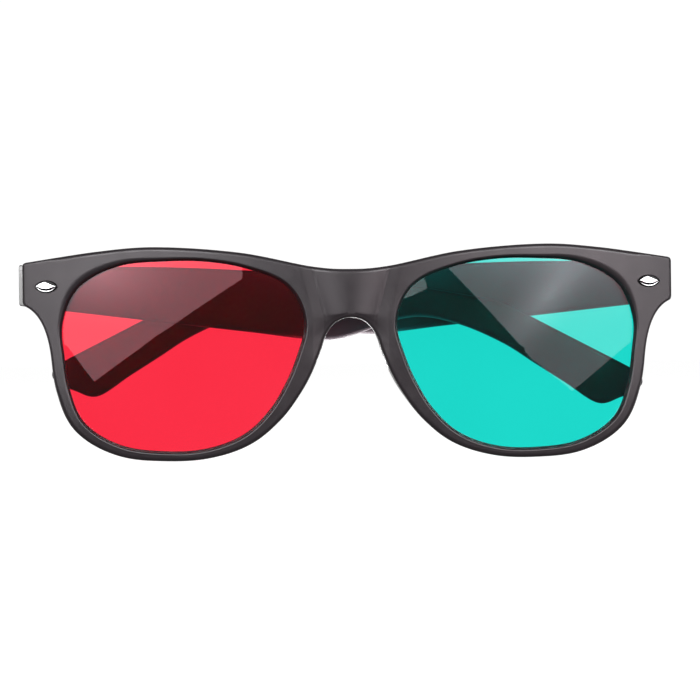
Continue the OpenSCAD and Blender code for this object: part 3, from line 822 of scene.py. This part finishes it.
def metal(name, dark, light, rough, scratch):
    """Plated metal with fine drawn lines and uneven polish."""
    mat, tree, bsdf = shader(name)
    coords = object_coords(tree)
    tint = ramp(tree, noise(tree, coords, scale=400, detail=3), dark, light)
    tree.links.new(tint, bsdf.inputs["Base Color"])
    stretch = tree.nodes.new("ShaderNodeMapping")
    stretch.inputs["Scale"].default_value = (1, 1, 12)
    tree.links.new(coords, stretch.inputs["Vector"])
    lines = noise(tree, stretch.outputs["Vector"], scale=2500, detail=3)
    level = ramp(tree, lines, grey(rough), grey(rough + scratch))
    tree.links.new(level, bsdf.inputs["Roughness"])
    bsdf.inputs["Metallic"].default_value = 1.0
    return mat


LENS_SMEAR, SMEAR_SPAN = 0.012, (0.35, 0.75)


def lens_plastic(name, dark, light):
    """Clear dyed sheet: tinted through its thickness, with a faint drift of the dye and faint smears."""
    mat, tree, bsdf = shader(name)
    coords = object_coords(tree)
    tint = ramp(tree, noise(tree, coords, scale=25, detail=2), dark, light)
    tree.links.new(tint, bsdf.inputs["Base Color"])
    smear = noise(tree, coords, scale=90, detail=4)
    level = ramp(tree, smear, grey(0), grey(LENS_SMEAR), SMEAR_SPAN)
    tree.links.new(level, bsdf.inputs["Roughness"])
    bsdf.inputs["Transmission Weight"].default_value = 1.0
    bsdf.inputs["IOR"].default_value = 1.49
    return mat


# Where the painted highlight on the temples' butt ends starts across from the middle, and how far it reaches
# forward
PAINTED_HIGHLIGHT_FROM, PAINTED_HIGHLIGHT_W = 72.2, 0.45
frame_plastic = plastic(
    "frame_plastic", (0.013, 0.01, 0.012), (0.017, 0.013, 0.015), rough=0.36, shine=0.5, crease=True,
)
temple_plastic = plastic(
    "temple_plastic", (0.02, 0.013, 0.017), (0.024, 0.016, 0.02), rough=0.4, shine=0.3,
    ends=(PAINTED_HIGHLIGHT_FROM, HINGE_Y + FACE_GAP + PAINTED_HIGHLIGHT_W),
)
stud_metal = metal("stud_metal", (0.4, 0.4, 0.41), (0.48, 0.48, 0.49), rough=0.05, scratch=0.04)
# Near-black metal on the stud's bezel and step: painted shade standing in for the shadow gap and the dark
# reflections round the polished facets
stud_edge = metal("stud_edge", (0.02, 0.018, 0.02), (0.035, 0.032, 0.035), rough=0.3, scratch=0.1)
hinge_metal = metal("hinge_metal", (0.55, 0.55, 0.56), (0.66, 0.66, 0.67), rough=0.24, scratch=0.14)
screw_metal = metal("screw_metal", (0.62, 0.62, 0.64), (0.74, 0.74, 0.75), rough=0.18, scratch=0.12)
red_dye = lens_plastic("red_lens", (0.99, 0.02, 0.05), (1.0, 0.026, 0.06))
cyan_dye = lens_plastic("cyan_lens", (0.005, 0.68, 0.58), (0.008, 0.72, 0.62))


def dress(obj, mat):
    obj.data.materials.clear()
    obj.data.materials.append(mat)


def fit(obj, mat, body, node):
    """Gives a piece its material and body, and puts it in a CAD node's place."""
    dress(obj, mat)
    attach(obj, body)
    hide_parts(node)


# Pieces

STUD_SHARP = 25

front = make("moulded_front", *front_mesh())
fit(front, frame_plastic, "front", "front_frame")
for side, colour, mat in ((-1, "red", red_dye), (1, "cyan", cyan_dye)):
    piece = make(colour + "_lens_sheet", *lens_mesh(side))
    fit(piece, mat, "front", colour + "_lens")
temples = []
for side, word in ((-1, "left"), (1, "right")):
    piece = temple(side, word + "_temple_arm")
    fit(piece, temple_plastic, word + "_temple", word + "_temple")
    temples.append(piece)
    piece = make(word + "_almond_stud", *stud_mesh(side), STUD_SHARP)
    fit(piece, stud_metal, "front", word + "_stud")
    # The bezel and the step between the facets get the painted shade; the two facets get the polished metal
    piece.data.materials.append(stud_edge)
    for face in piece.data.polygons:
        face.material_index = 0 if is_stud_facet(face.index) else 1
    for node, mat in (
        ("front_hinge_leaf", hinge_metal),
        ("front_hinge_rivets", hinge_metal),
        ("temple_hinge_leaf", hinge_metal),
        ("hinge_screw", screw_metal),
    ):
        dress(nodes[word + "_" + node], mat)


# Camera at the photograph's angle

YAW, ROLL, DISTANCE, FOCAL_PX, PICTURE, SENSOR = 2.759, -0.618, 0.8, 3640.5, 700, 36
TARGET = Vector((-0.317, 0, -7.139)) * MM

forward = Vector((sind(YAW), cosd(YAW), 0))
level = Vector((cosd(YAW), -sind(YAW), 0))
upright = Vector((0, 0, 1))
across = level * cosd(ROLL) + upright * sind(ROLL)
upward = upright * cosd(ROLL) - level * sind(ROLL)
camera = bpy.data.objects.new("camera", bpy.data.cameras.new("camera"))
bpy.context.scene.collection.objects.link(camera)
place = Matrix((across, upward, -forward)).transposed().to_4x4()
place.translation = TARGET - forward * DISTANCE
camera.matrix_world = place
camera.data.sensor_width = SENSOR
camera.data.lens = SENSOR * FOCAL_PX / PICTURE
camera.data.clip_start, camera.data.clip_end = 0.01, 20
bpy.context.scene.camera = camera
bpy.context.scene.view_settings.view_transform = "Standard"


# Studio: white surroundings for the eye, a dim room for reflections, soft boxes and a pale floor

ROOM, AMBIENT, WHITE = 0.16, 0.28, 1.04
world = bpy.data.worlds.new("studio")
bpy.context.scene.world = world
world.use_nodes = True
tree = world.node_tree
tree.nodes.clear()
paths = tree.nodes.new("ShaderNodeLightPath")

# White only along straight sight, also through a lens; after a bounce the room is dim
bounces = math_node(tree, "ADD", paths.outputs["Diffuse Depth"], paths.outputs["Glossy Depth"])
straight = math_node(tree, "LESS_THAN", bounces, 0.5)
around = math_node(tree, "MULTIPLY_ADD", paths.outputs["Is Diffuse Ray"], AMBIENT - ROOM, ROOM)
strength = math_node(tree, "MAXIMUM", around, math_node(tree, "MULTIPLY", straight, WHITE))
room = tree.nodes.new("ShaderNodeBackground")
room.inputs["Color"].default_value = (1, 1, 1, 1)
tree.links.new(strength, room.inputs["Strength"])
out = tree.nodes.new("ShaderNodeOutputWorld")
tree.links.new(room.outputs["Background"], out.inputs["Surface"])


def soft_box(name, place, aim, width, height, glow):
    """Rectangular light unseen by the camera; lengths in metres, and glow is its radiance."""
    light = bpy.data.lights.new(name, "AREA")
    light.shape = "RECTANGLE"
    light.size, light.size_y = width, height
    light.energy = glow * math.pi * width * height
    obj = bpy.data.objects.new(name, light)
    obj.location = place
    obj.rotation_mode = "QUATERNION"
    obj.rotation_quaternion = (Vector(aim) - Vector(place)).to_track_quat("-Z", "Y")
    obj.visible_camera = False
    bpy.context.scene.collection.objects.link(obj)
    return obj


# Two boxes before and above the part
BOX_Y, BOX_Z, BOX_H, BOX_GLOW = -0.6, 0.25, 0.36, 10.9
for name, x, width in (("left_box", -0.39, 0.5), ("right_box", 0.47, 0.58)):
    soft_box(name, (x, BOX_Y, BOX_Z), (x, 0, BOX_Z), width, BOX_H, BOX_GLOW)

# Two small lights under the bridge: one brightens the plastic there, the other gives the temple's lower edge
# its light line
BOUNCE_Z, BOUNCE_W = -0.012, 0.02


def bridge_bounce(name, y, depth, glow):
    return soft_box(name, (0, y, BOUNCE_Z), (0, y, 0), BOUNCE_W, depth, glow)


nose_bounce = bridge_bounce("nose_bounce", y=0.019, depth=0.012, glow=14)
nose_bounce.visible_glossy = False
edge_bounce = bridge_bounce("edge_bounce", y=0.0231, depth=0.006, glow=50)
plastics = bpy.data.collections.new("bounce_receivers")
for obj in (front, *temples):
    plastics.objects.link(obj)
for light in (nose_bounce, edge_bounce):
    light.light_linking.receiver_collection = plastics


def card(name, y, corners, colour, glow, spots):
    """Flat upright glowing sheet for reflections only, with brighter ovals; lengths in millimetres."""
    verts = [(x, y, z) for x, z in corners]
    obj = make(name, verts, [tuple(range(len(verts)))])
    mat, tree, bsdf = shader(name)
    coords = object_coords(tree)
    total = glow
    for (x, z), (width, height), turn, more in spots:
        oval = tree.nodes.new("ShaderNodeMapping")
        oval.vector_type = "TEXTURE"
        oval.inputs["Location"].default_value = (x * MM, y * MM, z * MM)
        oval.inputs["Rotation"].default_value = (0, math.radians(turn), 0)
        oval.inputs["Scale"].default_value = (width * MM, 1, height * MM)
        tree.links.new(coords, oval.inputs["Vector"])
        ball = tree.nodes.new("ShaderNodeTexGradient")
        ball.gradient_type = "QUADRATIC_SPHERE"
        tree.links.new(oval.outputs["Vector"], ball.inputs["Vector"])
        total = math_node(tree, "MULTIPLY_ADD", ball.outputs["Fac"], more, total)
    bsdf.inputs["Base Color"].default_value = (0, 0, 0, 1)
    bsdf.inputs["Emission Color"].default_value = (*colour, 1)
    tree.links.new(total, bsdf.inputs["Emission Strength"])
    dress(obj, mat)
    obj.visible_camera = False
    obj.visible_diffuse = False
    return obj


# What the lenses and the back of the part reflect: corners, then each oval's middle, radii, turn and glow
CARD_Y, CARD_TOP, BACK_CARD_Y = -600, 58, 1000
left_edge = [(-134, CARD_TOP), (-134, 21), (-391, -19), (-450, -3), (-560, 28), (-560, CARD_TOP)]
right_edge = [(183, CARD_TOP), (183, 24), (322, -11), (402, -25), (534, -5), (620, 14), (620, CARD_TOP)]
small_edge = [
    (88, 40), (88, 8.5), (109, 12.2), (126, 14), (140, 15.6), (146.4, 16.7), (143.4, 20.6), (136, 40),
]
card("left_card", CARD_Y, left_edge, (1, 0.84, 0.92), 2.3, [((-380, 26), (229, 26), 0, 3.5)])
right_spots = [((400, 40), (350, 45), 0, 4.8), ((360, 15.5), (170, 22), -12, 3.2)]
card("right_card", CARD_Y, right_edge, (1, 0.6, 0.69), 1.95, right_spots)
card("small_card", CARD_Y, small_edge, (1, 0.75, 0.8), 2.2, [((115, 16), (30, 12), 0, 0.6)])
back_edge = [(-1700, 60), (1700, 60), (1700, 780), (-1700, 780)]
back_card = card("back_card", BACK_CARD_Y, back_edge, (1, 1, 1), 0.3, [((0, 330), (1900, 430), 0, 5)])
back_card.visible_transmission = False

FLOOR_HALF, FLOOR_GAP = 6000, 0.0002
floor_low = cad_low.z - FLOOR_GAP
floor_corners = ((-1, -1), (1, -1), (1, 1), (-1, 1))
floor = make(
    "floor",
    [(x * FLOOR_HALF, y * FLOOR_HALF, floor_low / MM) for x, y in floor_corners],
    [(0, 1, 2, 3)],
)
mat, _, bsdf = shader("pale_floor")
bsdf.inputs["Base Color"].default_value = (0.12, 0.12, 0.12, 1)
bsdf.inputs["Roughness"].default_value = 0.9
bsdf.inputs["Emission Color"].default_value = (1, 1, 1, 1)
bsdf.inputs["Emission Strength"].default_value = 0.95
dress(floor, mat)
floor.visible_diffuse = False
floor.visible_glossy = False
floor.visible_transmission = False

# The floor's light behind the part, which its back reflects
FLOOR_LIGHT_Y, FLOOR_LIGHT_RISE, FLOOR_LIGHT_TILT = 0.27, 0.0004, 0.0001
floor_place = (0, FLOOR_LIGHT_Y, floor_low + FLOOR_LIGHT_RISE)
floor_aim = (0, FLOOR_LIGHT_Y + FLOOR_LIGHT_TILT, 1)
floor_bounce = soft_box("floor_bounce", floor_place, floor_aim, width=1.6, height=0.48, glow=1)
floor_bounce.visible_transmission = False
